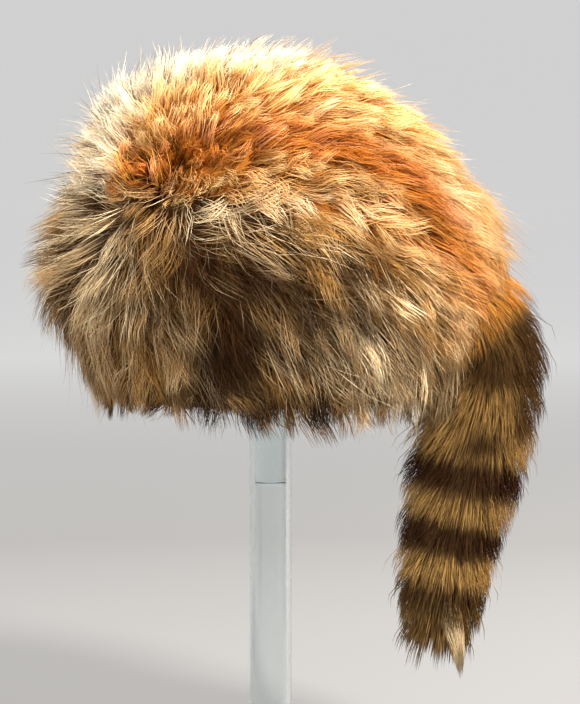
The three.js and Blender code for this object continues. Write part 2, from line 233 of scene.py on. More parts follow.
# How each coat lies: the crown's fur, the band's fur and the guard hair. Lengths are millimetres,
# turns are radians, and spreads are standard deviations
COAT_NAMES = ("crown", "band", "guard")
COATS = {
    "roots": (5, 3.3, 1.5),  # over the whole form, for each strand asked for
    "girth": (1, 0.74, 1),  # the share of the radius asked for
    "tufts": (3000, 1900, 1500),  # over the whole form
    "edge": (0, 14, 0),  # the height above the rim below which the roots are doubled
    "travel": (24, 34, 44),  # how far a strand runs along the leather
    "whorl_travel": (0.2, 0.45, 0.3),  # the share of that which is left at a whorl
    "stand": (0.5, 0.7, 0.45),  # the share of that which is left in the frosted front
    "start": (0.4, 0.35, 0.5),  # how far up the pile a strand starts
    "bow": (1.2, 1.1, 1.1),  # the power by which it rises from there
    "keep_height": (0.0, 0.08, 0.2),  # how much of its root's depth of pile it keeps
    "depth": (0.94, 1.0, 1.16),  # how far up the pile it ends
    "uneven": (0.17, 0.24, 0.18),  # the spread of that over the tufts
    "stray_depth": (0.08, 0.08, 0.14),  # the spread of that within a tuft
    "lift": (1.5, 2.5, 3.0),  # the spread of the height that tufts are lifted by
    "turn": (0.34, 0.32, 0.34),  # the spread of the tufts' turns
    "stray_turn": (0.16, 0.14, 0.2),  # the spread of the turns within a tuft
    "tangle": (1.6, 1.7, 1.5),  # how many times greater both are at a whorl
    "curl": (0.3, 1.0, 1.0),  # how freely tufts turn close to a whorl
    "pull": (0.92, 0.86, 0.75),  # how closely a tuft's strands meet
    "loose": (0.1, 0.12, 0.25),  # the share of strands outside the tufts
    "wave": (2.6, 2.6, 3.0),  # how far the tips wave to each side
    "waves": (0.9, 0.6, 0.6),  # how many waves a strand makes
    "flyaway": (0.02, 0.015, 0.07),  # the share of strands that stand off the coat
}

# What each fur's material takes: how far the root colour reaches, how much of the tip colour shows
# and how strongly the tone differs from strand to strand, and then its colours
FUR_AMOUNTS = ("Root Reach", "Tip Share", "Tone Strength")
FUR_COLOURS = ("Root", "Body", "Tip", "Warm", "Pale", "Dark")
FURS = {
    "golden_fur": (0.6, 0.85, 0.4, "gold_root gold gold_tip rust frost russet"),
    "grizzled_fur": (0.65, 0.5, 0.6, "band_root grizzle grizzle_tip amber guard_tip umber"),
    "guard_hair": (0.6, 0.7, 0.6, "band_root grizzle guard_tip gold guard_tip umber"),
    "tail_fur": (0.25, 0.4, 0.3, "band_root dun buff gold buff ring"),
    "tail_tip_fur": (0.3, 0.4, 0.3, "ring buff grizzle_tip gold guard_tip ring"),
}

# The stand's clear pieces: radii and heights
EDGE = 0.3
TUBE_RADIUS, TUBE_BORE, TUBE_LOW, TUBE_HIGH = 12.7, 9.7, 6.6, 369.7
FOOT_RADIUS, FOOT_HEIGHT, SOCKET_RADIUS, SOCKET_FLOOR = 75.0, 10.0, 13.0, 6.0
PLUG_RADIUS, PLUG_LOW, PAD_RADIUS, PAD_LOW = 9.4, 171.0, 46.0, 370.0
PAD_GAP = 4.0  # from the leather down to the pad

# The backdrop, a bowl
BOWL_RADIUS, COVE_RADIUS, BOWL_HEIGHT, BOWL_WALL = 5500, 1300, 4000, 60
FLOOR_RADIUS, FLOOR_LEVEL, FLOOR_BASE = 1500, -0.2, -50

# What the lamps and the camera are turned to, and the lamps, in metres and watts
LAMP_TARGET = np.array([0.0, 0.0, 0.3])
CAMERA_TARGET = np.array([0.0117, 0.0, 0.2509])
SENSOR = 36  # the width of the camera's sensor in millimetres
LIGHTS = table(
    "x y z size power warmth",
    (0.85, -0.85, 1.35, 0.3, 44, 0.9),
    (0.95, 0.5, 0.9, 0.5, 26, 0.9),
    (-0.75, 0.45, 1.25, 0.5, 24, 0.95),
    (-1.3, -1.5, 0.9, 1.2, 12, 1.0),
)


# Small helpers


def smooth(value, low, high):
    """0 below low, 1 above high, and 3 t squared less 2 t cubed at a share t between them."""
    t = np.clip((value - low) / (high - low), 0, 1)
    return t * t * (3 - 2 * t)


def mix(a, b, t):
    """A straight change from a at t = 0 to b at t = 1."""
    return a + (b - a) * t


def round_angles(count):
    """Even angles round a full turn."""
    return np.linspace(0, 2 * np.pi, count, endpoint=False)


def unit(v):
    """Vectors scaled to a length of 1."""
    return v / np.maximum(np.linalg.norm(v, axis=-1, keepdims=True), 1e-9)


# The cap's form


def lean(z):
    """The top leans towards the front, by the square of how high it is above the widest level."""
    return LEAN * np.clip((z - WIDEST) / (TOP - WIDEST), 0, 1.4) ** 2


def shares(p):
    """Points as shares of the form's reaches, where the leather lies at a size of 1."""
    x = p[..., 0] - lean(p[..., 2])
    x = x / np.where(x < 0, FRONT_REACH, BACK_REACH)
    rise = p[..., 2] - WIDEST
    rise = rise / np.where(rise < 0, TUCK, TOP - WIDEST)
    return np.stack([x, p[..., 1] / HALF_WIDTH, rise], -1)


def form_size(p):
    """The size of the form through each point. The leather lies at 1, and the share across and the
    share up, each to the power of the roundness, add up to the size to the same power."""
    s = shares(p)
    flat = np.hypot(s[..., 0], s[..., 1])
    return (flat**ROUNDNESS + np.abs(s[..., 2]) ** ROUNDNESS) ** (1 / ROUNDNESS)


def onto_leather(p):
    """Points moved along the line from the form's middle until they lie on the leather."""
    middle = np.array([0.0, 0.0, WIDEST])
    ray = p - middle
    ray[..., 0] -= lean(p[..., 2])
    found = ray / np.maximum(form_size(p), 1e-6)[..., None] + middle
    found[..., 0] += lean(found[..., 2])
    return found


def form_normal(p):
    """The outward normal: the slope of the size, taken across a small step each way."""
    step = 0.05
    slope = [form_size(p + step * axis) - form_size(p - step * axis) for axis in np.eye(3)]
    return unit(np.stack(slope, -1))


def leather_point(azimuth, rise):
    """The leather at an azimuth and a rise angle: a reach out by the rise's cosine and up by its
    sine, each to the power of two over the roundness."""
    out = np.cos(rise).clip(0) ** (2 / ROUNDNESS)
    up = np.sign(rise) * np.abs(np.sin(rise)) ** (2 / ROUNDNESS)
    z = WIDEST + up * np.where(up < 0, TUCK, TOP - WIDEST)
    c, s = np.cos(azimuth), np.sin(azimuth)
    x = lean(z) + out * c * np.where(c < 0, FRONT_REACH, BACK_REACH)
    return np.stack([x, out * s * HALF_WIDTH, z], -1)


def rise_of(height):
    """The rise angle of the leather at a height: leather_point's height solved for the angle."""
    rise = height - WIDEST
    share = np.abs(rise) / np.where(rise < 0, TUCK, TOP - WIDEST)
    return np.sign(rise) * np.arcsin(np.clip(share, 0, 1) ** (ROUNDNESS / 2))


def seam_height(azimuth):
    """The crown's seam is level round the front and drops to the back by a power of the cosine."""
    return SEAM_HEIGHT - SEAM_DROP * np.cos(azimuth).clip(0) ** SEAM_SHARPNESS


def above_seam(p):
    """How far points are above the seam at their azimuth."""
    s = shares(p)
    return p[..., 2] - seam_height(np.arctan2(s[..., 1], s[..., 0]))


def end_share(p):
    """0 at the cap's sides and 1 straight ahead or behind: the azimuth's cosine squared."""
    s = shares(p)
    return (s[..., 0] / np.maximum(np.hypot(s[..., 0], s[..., 1]), 1e-6)) ** 2


def pile_depth(p):
    """The depth of the fur, read from the pile's rows by height and blended from side to end."""
    z = p[..., 2]
    front, side, back = (np.interp(z, PILE["height"], PILE[c]) for c in ("front", "side", "back"))
    end = np.where(shares(p)[..., 0] < 0, front, back)
    return mix(side, end, end_share(p))


def fringe_height(p):
    """Where the fringe ends: higher at the front."""
    return FRINGE + FRINGE_RISE * smooth(-p[..., 0], -20, 60)


def lie(p, normal, turn):
    """The way hair lies: away from the nearer whorl and, further off, down, then turned by an angle."""
    side = np.clip(p[..., 1] / 20, -1, 1)
    whorl = np.stack([np.full_like(side, WHORL[0]), WHORL[1] * side, np.full_like(side, WHORL[2])], -1)
    away = p - whorl
    far = np.linalg.norm(away, axis=-1)
    way = unit(away)
    way[..., 2] -= 0.75 * smooth(far, 50, 160)
    way = unit(way - normal * np.sum(way * normal, -1, keepdims=True))
    across = np.cross(normal, way)
    turn = turn[..., None]
    return way * np.cos(turn) + across * np.sin(turn)


def seen_from_side(p):
    """Where points appear to an eye at the side: along the cap, and their lift up the view. Both
    grow by the eye's distance over what is left of it."""
    near = EYE_DISTANCE / (EYE_DISTANCE - np.abs(p[..., 1]))
    lift = EYE_COSINE * (p[..., 2] - EYE_HEIGHT) - EYE_SINE * np.abs(p[..., 1])
    return p[..., 0] * near, EYE_HEIGHT + lift * near


# Meshes


def write_mesh(name, points, faces, material):
    """A new object from points in millimetres and faces that all have the same number of corners."""
    mesh = bpy.data.meshes.new(name)
    corners = faces.shape[1]
    mesh.vertices.add(len(points))
    mesh.vertices.foreach_set("co", (points * MM).astype(np.float32).ravel())
    mesh.loops.add(faces.size)
    mesh.loops.foreach_set("vertex_index", faces.astype(np.int32).ravel())
    mesh.polygons.add(len(faces))
    mesh.polygons.foreach_set("loop_start", np.arange(0, faces.size, corners, dtype=np.int32))
    mesh.polygons.foreach_set("use_smooth", np.full(len(faces), True))
    mesh.update(calc_edges=True)
    mesh.materials.append(material)
    obj = bpy.data.objects.new(name, mesh)
    bpy.context.scene.collection.objects.link(obj)
    return obj


def add_value(obj, name, value):
    """A named number on each point of a mesh."""
    attribute = obj.data.attributes.new(name, "FLOAT", "POINT")
    attribute.data.foreach_set("value", value.astype(np.float32))


def loop_faces(rows, columns, close_rows):
    """Quads over a grid of points whose columns close on themselves, and its rows if asked."""
    row = np.arange(rows if close_rows else rows - 1)
    column = np.arange(columns)
    r, c = np.meshgrid(row, column, indexing="ij")
    r2, c2 = (r + 1) % rows, (c + 1) % columns
    corners = [r * columns + c, r * columns + c2, r2 * columns + c2, r2 * columns + c]
    return np.stack(corners, -1).reshape(-1, 4)


def outward(points, faces):
    """Faces turned round if together they enclose a negative volume."""
    a, b, c = (points[faces[:, i]] for i in range(3))
    volume = np.sum(np.cross(a, b) * c)
    if faces.shape[1] == 4:
        volume += np.sum(np.cross(a, c) * points[faces[:, 3]])
    return faces if volume > 0 else faces[:, ::-1]


def closed_wall(name, outer, inner, material):
    """A wall between two grids, rows by columns, joined along the first and last rows."""
    points = np.concatenate([outer, inner[::-1]])
    rows, columns = points.shape[:2]
    faces = loop_faces(rows, columns, True)
    flat = points.reshape(-1, 3)
    return write_mesh(name, flat, outward(flat, faces), material)


def closed_skin(name, grid, material, ends=()):
    """A skin over a grid of rings. It is closed by a point at each end, or else its last ring joins
    its first."""
    rows, columns = grid.shape[:2]
    points = grid.reshape(-1, 3)
    quads = loop_faces(rows, columns, not len(ends))
    faces = [quads[:, [0, 1, 2]], quads[:, [0, 2, 3]]]
    if len(ends):
        ring = np.arange(columns)
        after = np.roll(ring, -1)
        top = (rows - 1) * columns
        faces.append(np.stack([np.full(columns, len(points)), after, ring], -1))
        faces.append(np.stack([np.full(columns, len(points) + 1), top + ring, top + after], -1))
        points = np.concatenate([points, ends])
    faces = np.concatenate(faces)
    return write_mesh(name, points, outward(points, faces), material)


def turned(name, profile, material):
    """A profile of radius and height pairs carried round the Z axis. The profile is a closed loop
    clear of the axis, or starts and ends on it."""
    profile = np.array(profile, float)
    solid = profile[0, 0] < 1e-6
    ring = profile[1:-1] if solid else profile
    turn = round_angles(AROUND)
    radius, height = ring[:, :1], np.broadcast_to(ring[:, 1:], (len(ring), AROUND))
    grid = np.stack([radius * np.cos(turn), radius * np.sin(turn), height], -1)
    ends = [[0, 0, profile[0, 1]], [0, 0, profile[-1, 1]]] if solid else ()
    obj = closed_skin(name, grid, material, ends)
    obj.data.set_sharp_from_angle(angle=math.radians(30))
    return obj


# Fur strands


def spread_on_form(count, rng, keep):
    """Roots over the leather: the height falls in even steps while the azimuth turns by the golden
    angle, and each root is moved a little. Those above the rim that keep picks are left."""
    i = np.arange(count) + 0.5
    up = 1 - 2 * i / count
    out = np.sqrt(1 - up * up)
    turn = i * GOLDEN_ANGLE
    point = np.stack(
        [out * np.cos(turn) * BACK_REACH, out * np.sin(turn) * HALF_WIDTH, WIDEST + up * (TOP - WIDEST)],
        -1,
    )
    point += rng.normal(0, 150 / math.sqrt(count), point.shape)
    root = onto_leather(point)
    return root[(root[:, 2] > RIM + 1) & keep(root)]


def eased_into_box(points):
    """Hair may stand proud of the solids' box by 1.5% of each side and 4.5 mm. Over the last few
    millimetres of that it is eased back by a hyperbolic tangent."""
    low, high = (np.array(corner) / MM for corner in CAD_BOX)
    room = 0.015 * (high - low) + 4.5
    ease = 5.0
    over = np.maximum(points - (high + room - ease), 0)
    under = np.maximum((low - room + ease) - points, 0)
    return points - (over - ease * np.tanh(over / ease)) + (under - ease * np.tanh(under / ease))


def nearest(points, centres):
    """The index of the nearest centre to each point, worked out in blocks."""
    found = [
        np.argmin(((points[i : i + 2000, None] - centres[None]) ** 2).sum(-1), 1)
        for i in range(0, len(points), 2000)
    ]
    return np.concatenate(found)


def from_whorl(p):
    """The distance to the whorl on the same side."""
    return np.linalg.norm(p * [1, 0, 1] + np.abs(p) * [0, 1, 0] - WHORL, axis=-1)


def frosted(p):
    """1 down the middle of the front, where the hair is pale and stands up, and 0 elsewhere."""
    reach = 38 + 34 * smooth(-p[..., 0], 60, 105)
    front = smooth(-p[..., 0], -50, 10)
    return front * smooth(reach - np.abs(p[..., 1]), 0, 26) * smooth(p[..., 2], 275, 320)


def cap_paths(root, look, turn, depth, lift, length):
    """Each strand's foot walks along the lie of the hair from its root. At a share t of the length,
    its height is the pile there times a rise from the start to 1, by 1 - (1 - t) to the power of the
    bow, and it ends at its own depth of the pile and a few millimetres more or less. Hair stands up
    near the whorls and at the front."""
    travel = look["travel"] * length * mix(look["whorl_travel"], 1, smooth(from_whorl(root), 0, 85))
    travel = travel * mix(1, look["stand"], frosted(root))
    room = root[:, 2] - fringe_height(root) + 2 * lift
    travel = np.minimum(travel, length.clip(0.6, 1.02) * np.maximum(room, 3))
    foot = root.copy()
    pile_at_root = pile_depth(root)
    path = []
    for t in STRAND_SHARES:
        normal = form_normal(foot)
        rise = mix(look["start"], 1, 1 - (1 - t) ** look["bow"])
        pile = mix(pile_depth(foot), pile_at_root, look["keep_height"])
        path.append(foot + normal * (pile * rise * mix(1, depth, t) + lift * t)[:, None])
        foot = onto_leather(foot + lie(foot, normal, turn) * (travel / STRAND_STEPS)[:, None])
    return np.stack(path)


def tufted(path, guide, index, pull, rng, loose):
    """Strands drawn towards the guide of their tuft, by the pull times their share of length to the
    power 1.2. A few stay loose, and the pull is one number or one for each strand."""
    t = STRAND_SHARES[:, None, None]
    hold = pull * (rng.random(path.shape[1]) > loose) * rng.uniform(0.7, 1, path.shape[1])
    hold *= rng.uniform(0.7, 1, guide.shape[1])[index]
    return path + (guide[:, index] - path) * hold[None, :, None] * t**1.2


def strand_template():
    """One strand's faces, and their corners in its square of the UV map: the end at the root below,
    and the three sides above it, next to each other."""
    faces, corners = [(0, 2, 1)], [((0.02, 0.0), (0.30, 0.0), (0.16, 0.05))]
    level = mix(0.07, 1, STRAND_SHARES)
    last = STRAND_STEPS - 1
    for s in range(3):
        e = (s + 1) % 3
        left, right = s / 3 + 0.01, (s + 1) / 3 - 0.01
        for k in range(last):
            a, b, c, d = 3 * k + s, 3 * k + e, 3 * k + 3 + e, 3 * k + 3 + s
            low, high = level[k], level[k + 1]
            faces += [(a, b, c), (a, c, d)]
            corners += [((left, low), (right, low), (right, high))]
            corners += [((left, low), (right, high), (left, high))]
        faces += [(3 * last + s, 3 * last + e, 3 * STRAND_STEPS)]
        corners += [((left, level[last]), (right, level[last]), ((left + right) / 2, 0.98))]
    return np.array(faces), np.array(corners)


def strands(name, path, radius, values, material):
    """Closed strands, each a three-cornered section carried along its path to a point at the tip. At
    a share t of the length, the section's radius is the strand's times 1 - 0.75 t to the power 1.5."""
    count = path.shape[1]
    along = unit(np.gradient(path, axis=0))
    outwards = unit(path - np.array([0.0, 0.0, STRANDS_MIDDLE]))
    across = unit(np.cross(outwards, along))
    up = np.cross(along, across)
    t = STRAND_SHARES[:, None]
    size = (radius * (1 - 0.75 * t[:-1] ** 1.5))[..., None]
    angle = np.arange(3) * 2 * np.pi / 3 + np.pi / 6
    corners = [path[:-1] + size * (np.cos(a) * across[:-1] + np.sin(a) * up[:-1]) for a in angle]
    body = np.stack(corners, 2).transpose(1, 0, 2, 3).reshape(count, -1, 3)
    points = np.concatenate([body, path[-1][:, None]], 1)
    template, cell_uv = strand_template()
    faces = outward(points[0], template)
    if not np.array_equal(faces, template):
        cell_uv = cell_uv[:, ::-1]
    every = (np.arange(count) * points.shape[1])[:, None, None] + faces
    obj = write_mesh(name, points.reshape(-1, 3), every.reshape(-1, 3), material)
    side = math.ceil(math.sqrt(count))
    cell = np.stack([np.arange(count) % side, np.arange(count) // side], -1)
    spread = (cell[:, None, None] + 0.06 + 0.88 * cell_uv) / side
    layer = obj.data.uv_layers.new(name="OFBake")
    layer.uv.foreach_set("vector", spread.astype(np.float32).ravel())
    for key, value in {**values, "along": t}.items():
        rings = np.broadcast_to(value, (STRAND_STEPS + 1, count))
        add_value(obj, key, np.concatenate([np.repeat(rings[:-1], 3, 0), rings[-1:]]).T.ravel())
    return obj


def line_distance(x, y, line_x, line_y):
    """The distance from points to a line through a row of points."""
    best = np.full(np.shape(x), np.inf)
    for i in range(len(line_x) - 1):
        dx, dy = line_x[i + 1] - line_x[i], line_y[i + 1] - line_y[i]
        t = np.clip(((x - line_x[i]) * dx + (y - line_y[i]) * dy) / (dx * dx + dy * dy), 0, 1)
        best = np.minimum(best, np.hypot(x - line_x[i] - t * dx, y - line_y[i] - t * dy))
    return best


def patch_mask(x, lift, rows):
    """The strongest of a few soft oval patches: each is its strength times e to the power of minus
    the squares of how far off its middle a point is, across and up, in shares of its reaches."""
    across = (x[:, None] - rows["x"]) / rows["reach_x"]
    up = (lift[:, None] - rows["lift"]) / rows["reach_z"]
    return np.max(rows["strength"] * np.exp(-(across**2) - up**2), -1)


def mottling(p):
    """Broad uneven patches from -1 to 1: the product of two waves that bend each other."""
    x, y, z = p[..., 0], p[..., 1], p[..., 2]
    first = np.sin(0.13 * x + 1.4 * np.sin(0.08 * z + 0.05 * y))
    return first * np.sin(0.15 * z + 1.1 * np.sin(0.07 * x - 0.04 * y))


def crown_colours(path, tuft, rng):
    """Masks from the place where each strand is seen: a rust streak above the seam, which is e to the
    power of minus the square of the distance from its line in reaches and fades towards the tail,
    and frosted fur down the middle of the front."""
    seen = path[-2]
    x, lift = seen_from_side(seen)
    off = line_distance(x, lift, RUST_STREAK["x"], RUST_STREAK["lift"])
    rust = np.exp(-((off / RUST_REACH) ** 2)) * (1 - 0.4 * smooth(x, *RUST_FADE))
    frost = frosted(seen)
    deep = patch_mask(x, lift, CROWN_DEEP)
    # The pale mask includes a painted highlight at the crown's back edge
    pale = patch_mask(x, lift, CROWN_PALE_AND_HIGHLIGHT) * (1 - rust)
    noise = rng.normal(0, 0.08, len(x)) + 0.1 * tuft
    shade = rng.normal(-0.15, 0.2, len(x)).clip(0)
    return {
        "warm": np.clip((1.2 * rust + deep) * (1 - frost) + noise + 0.12 * mottling(seen), 0, 1),
        "pale": np.clip(np.maximum(1.1 * frost, pale) + noise, 0, 1),
        "dark": np.clip(shade + deep - 0.15 * tuft.clip(0), 0, 0.8),
    }


def band_colours(path, tuft, rng):
    """Masks from oval patches seen from the side, broken up tuft by tuft."""
    seen = path[-2]
    x, lift = seen_from_side(seen)
    noise = rng.normal(0, 0.1, len(x)) + 0.24 * tuft + 0.2 * mottling(seen)
    return {
        "warm": np.clip(patch_mask(x, lift, BAND_WARM) + 0.2 + 0.4 * noise, 0, 1),
        "pale": np.clip(0.6 * patch_mask(x, lift, BAND_PALE) + noise - 0.1, 0, 1),
        # The dark mask paints shade over the band's dark fur, and along its lower edge
        "dark": np.clip(patch_mask(x, lift, BAND_DARK_AND_SHADE) - noise, 0, 0.95),
    }


def cap_fur(name, material, look, keep, colours, seed):
    """One coat of fur on the cap: roots, tuft guides, paths, sizes and masks. A tuft shares its
    turn, height and length. Each strand waves sideways by two sines, its tuft's and its own. Near
    the whorls hair is denser and more tangled, and a few flyaway hairs stand off the coat."""
    rng = np.random.default_rng(seed)
    root = np.concatenate(
        [
            spread_on_form(look["count"], rng, keep),
            spread_on_form(look["count"], rng, lambda p: keep(p) & (p[:, 2] < RIM + look["edge"])),
            spread_on_form(
                WHORL_FILL * look["count"], rng, lambda p: keep(p) & (from_whorl(p) < WHORL_REACH)
            ),
        ]
    )
    centre = spread_on_form(look["tufts"], rng, keep)
    index = nearest(root, centre)
    count, tufts = len(root), len(centre)
    tangle = mix(look["tangle"], 1, smooth(from_whorl(centre), 20, 90))
    turn = (look["turn"] * rng.normal(0, 1, tufts).clip(-1.7, 1.7) * tangle).clip(-1.1, 1.1)
    turn += look["curl"] * rng.uniform(-2.6, 2.6, tufts) * (1 - smooth(from_whorl(centre), 10, 36))
    lift = rng.normal(0, look["lift"], tufts).clip(-2 * look["lift"], 1.6 * look["lift"])
    depth = look["depth"] + rng.normal(0, look["uneven"], tufts).clip(-2 * look["uneven"], look["uneven"])
    length = 1 + rng.normal(0, 0.2, tufts).clip(-0.4, 0.4)
    guide = cap_paths(centre, look, turn, depth, lift, length)
    own = cap_paths(
        root,
        look,
        turn[index] + look["stray_turn"] * rng.normal(0, 1, count).clip(-2, 2) * tangle[index],
        depth[index] * (1 + rng.normal(0, look["stray_depth"], count).clip(-0.3, 0.12)),
        lift[index],
        length[index] * rng.uniform(0.75, 1.15, count),
    )
    pull = look["pull"] * mix(0.55, 1, smooth(root[:, 2], RIM + 8, RIM + 40))
    path = tufted(own, guide, index, pull, rng, look["loose"])
    t = STRAND_SHARES[:, None]
    normal = form_normal(onto_leather(path[-1].copy()))
    across = unit(np.cross(normal, path[-1] - path[0]))
    wave = np.sin(2 * np.pi * (look["waves"] * t + rng.random(tufts)[index]))
    wave += 0.4 * np.sin(2 * np.pi * (1.3 * look["waves"] * t + rng.random(count)))
    path = path + across * (look["wave"] * t * wave)[..., None]
    flyaway = (rng.random(count) < look["flyaway"]) * rng.uniform(3, 12, count)
    path = eased_into_box(path + normal * (flyaway * t**1.6)[..., None])
    radius = look["radius"] * rng.uniform(0.7, 1.3, count) * np.where(flyaway > 0, 0.7, 1)
    tuft = rng.normal(0, 1, tufts)[index]
    tone = 0.4 * tuft + rng.normal(0, 0.3, count)
    values = dict(colours(path, tuft, rng), tone=np.clip(tone, -1, 1))
    return strands(name, path, radius, values, material)


# Materials


def feed(tree, node, sources):
    """Feeds a node's inputs by name or number. An output is linked, and any other value is set."""
    for key, source in sources.items():
        if isinstance(source, bpy.types.NodeSocket):
            tree.links.new(source, node.inputs[key])
        else:
            node.inputs[key].default_value = source
    return node


def add_node(tree, kind, sources, **modes):
    """A shader node with its modes set and its inputs fed."""
    node = tree.nodes.new("ShaderNode" + kind)
    for key, mode in modes.items():
        setattr(node, key, mode)
    return feed(tree, node, sources)


def new_material(name):
    """A material, its node tree and its Principled shader."""
    material = bpy.data.materials.new(name)
    material.use_nodes = True
    return material, material.node_tree, material.node_tree.nodes["Principled BSDF"]


def object_place(tree):
    """Object coordinates, which are the part's own."""
    return add_node(tree, "TexCoord", {}).outputs["Object"]


def noise_on(tree, place, scale, detail):
    """Noise on Object coordinates, or on a place made from them."""
    sources = {"Vector": place, "Scale": scale, "Detail": detail}
    return add_node(tree, "TexNoise", sources).outputs["Fac"]


def bumped(tree, height, strength, distance):
    """The normal of a surface raised by a height."""
    sources = {"Height": height, "Strength": strength, "Distance": distance}
    return add_node(tree, "Bump", sources).outputs["Normal"]


def blend(tree, factor, low, high, kind="MIX"):
    """Two colours blended by a factor."""
    sources = {"Factor": factor, "A": low, "B": high}
    return add_node(tree, "Mix", sources, data_type="RGBA", blend_type=kind).outputs["Result"]


def rgba(colour, share=1):
    """A colour times a share, with full alpha."""
    return (*(c * share for c in colour[:3]), 1.0)


def fur_group():
    """Fur Colour: the body colour turns to the tip colour along the strand, by the tip's share times
    the length to the power 1.5, and is then mixed with the warm, pale and dark colours by their
    masks. The root colour shows near the skin, less so where the hair is pale, and each strand has
    its own tone."""
    tree = bpy.data.node_groups.get("Fur Colour")
    if tree:
        return tree
    tree = bpy.data.node_groups.new("Fur Colour", "ShaderNodeTree")
    for name in FUR_COLOURS:
        tree.interface.new_socket(name, in_out="INPUT", socket_type="NodeSocketColor")
    for name in FUR_AMOUNTS:
        tree.interface.new_socket(name, in_out="INPUT", socket_type="NodeSocketFloat")
    tree.interface.new_socket("Colour", in_out="OUTPUT", socket_type="NodeSocketColor")
    given = tree.nodes.new("NodeGroupInput").outputs

    def value_of(name):
        """A value that the strands carry."""
        return add_node(tree, "Attribute", {}, attribute_name=name).outputs["Fac"]

    def math_of(kind, *sources, clamp=False):
        """A step of arithmetic."""
        node = add_node(tree, "Math", dict(enumerate(sources)), operation=kind, use_clamp=clamp)
        return node.outputs[0]

    along = value_of("along")
    tip = math_of("MULTIPLY", math_of("POWER", along, 1.5), given["Tip Share"])
    colour = blend(tree, tip, given["Body"], given["Tip"])
    for mask in ("Warm", "Pale", "Dark"):
        colour = blend(tree, value_of(mask.lower()), colour, given[mask])
    low = math_of("DIVIDE", along, given["Root Reach"])
    low = math_of("MULTIPLY_ADD", value_of("pale"), 0.3, low, clamp=True)
    colour = blend(tree, low, given["Root"], colour)
    tone = math_of("MULTIPLY_ADD", value_of("tone"), given["Tone Strength"], 1.0)
    grey = add_node(tree, "CombineColor", dict.fromkeys(range(3), tone)).outputs["Color"]
    colour = blend(tree, 1.0, colour, grey, "MULTIPLY")
    feed(tree, tree.nodes.new("NodeGroupOutput"), {"Colour": colour})
    return tree


def fur_material(name):
    """One of the furs, in its own colours."""
    material, tree, shader = new_material(name)
    *amounts, names = FURS[name]
    group = tree.nodes.new("ShaderNodeGroup")
    group.node_tree = fur_group()
    colours = settings()[1]
    feed(tree, group, dict(zip(FUR_AMOUNTS, amounts)))
    feed(tree, group, {key: rgba(getattr(colours, c)) for key, c in zip(FUR_COLOURS, names.split())})
    finish = {"Base Color": group.outputs["Colour"], "Roughness": 0.5, "Specular IOR Level": 0.12}
    feed(tree, shader, finish)
    return material


def underfur_material(name, low, high):
    """Dense underfur: two colours mixed by streaky noise, with a felted bump."""
    material, tree, shader = new_material(name)
    streak = noise_on(tree, object_place(tree), 260, 6)
    normal = bumped(tree, streak, 0.8, 0.001)
    feed(tree, shader, {"Base Color": blend(tree, streak, low, high), "Normal": normal, "Roughness": 0.9})
    return material


def leather_material(colour):
    """Suede: a napped skin side, mottled by a broad noise and raised by a fine one."""
    material, tree, shader = new_material("suede_leather")
    place = object_place(tree)
    ramp = add_node(tree, "ValToRGB", {"Fac": noise_on(tree, place, 28, 2)})
    for stop, position, share in zip(ramp.color_ramp.elements, (0.3, 0.7), (0.62, 1)):
        stop.position = position
        stop.color = rgba(colour, share)
    finish = {
        "Base Color": ramp.outputs["Color"],
        "Normal": bumped(tree, noise_on(tree, place, 900, 8), 0.5, 0.0004),
        "Roughness": 0.85,
        "Sheen Weight": 0.3,
    }
    feed(tree, shader, finish)
    return material


def acrylic_material():
    """Clear acrylic with faint upright scuffs in its roughness."""
    material, tree, shader = new_material("clear_acrylic")
    stretched = add_node(tree, "Mapping", {"Vector": object_place(tree), "Scale": (60, 60, 9)})
    scuff = noise_on(tree, stretched.outputs["Vector"], 9, 5)
    span = {"From Min": 0.45, "From Max": 0.8, "To Min": 0.02, "To Max": 0.16}
    finish = {
        "Base Color": (0.90, 0.93, 0.93, 1),
        "Transmission Weight": 1.0,
        "IOR": 1.49,
        "Roughness": add_node(tree, "MapRange", {"Value": scuff, **span}).outputs["Result"],
    }
    feed(tree, shader, finish)
    return material


def backdrop_material(colour):
    """Matt paint that glows softly far from the stand, so that the wall is as pale as the floor."""
    material, tree, shader = new_material("backdrop")
    flat = add_node(tree, "VectorMath", {0: object_place(tree), 1: (1, 1, 0)}, operation="MULTIPLY")
    reach = add_node(tree, "VectorMath", {0: flat.outputs["Vector"]}, operation="LENGTH")
    span = {"From Min": 0.8, "From Max": 2.0, "To Max": 0.5}
    glow = add_node(tree, "MapRange", {"Value": reach.outputs["Value"], **span})
    finish = {
        "Base Color": rgba(colour),
        "Roughness": 0.9,
        "Emission Color": glow.outputs["Result"],
        "Emission Strength": 1.0,
    }
    feed(tree, shader, finish)
    return material


# Settings


def count_property(name, description, default):
    """A number of strands."""
    return bpy.props.IntProperty(name=name, description=description, default=default, min=100)


def length_property(name, description, default):
    """A length in metres."""
    return bpy.props.FloatProperty(
        name=name, description=description, default=default, unit="LENGTH"
    )


def colour_property(name, description, default):
    """A colour in linear light."""
    return bpy.props.FloatVectorProperty(
        name=name, description=description, default=default, subtype="COLOR", size=3, min=0, max=1
    )


class CAP_PG_fur(bpy.types.PropertyGroup):
    crown_strands: count_property("Crown strands", "Strands in each half of the crown", 11000)
    band_strands: count_property("Band strands", "Strands in each half of the band", 11500)
    tail_strands: count_property("Tail strands", "Strands on the tail", 11500)
    strand_radius: length_property(
        "Strand radius", "Half the width of a fur strand at its root", 0.00038
    )
    guard_hairs: count_property("Guard hairs", "Long hairs on the band and the front", 9000)
    guard_radius: length_property(
        "Guard hair radius", "Half the width of a guard hair at its root", 0.00022
    )


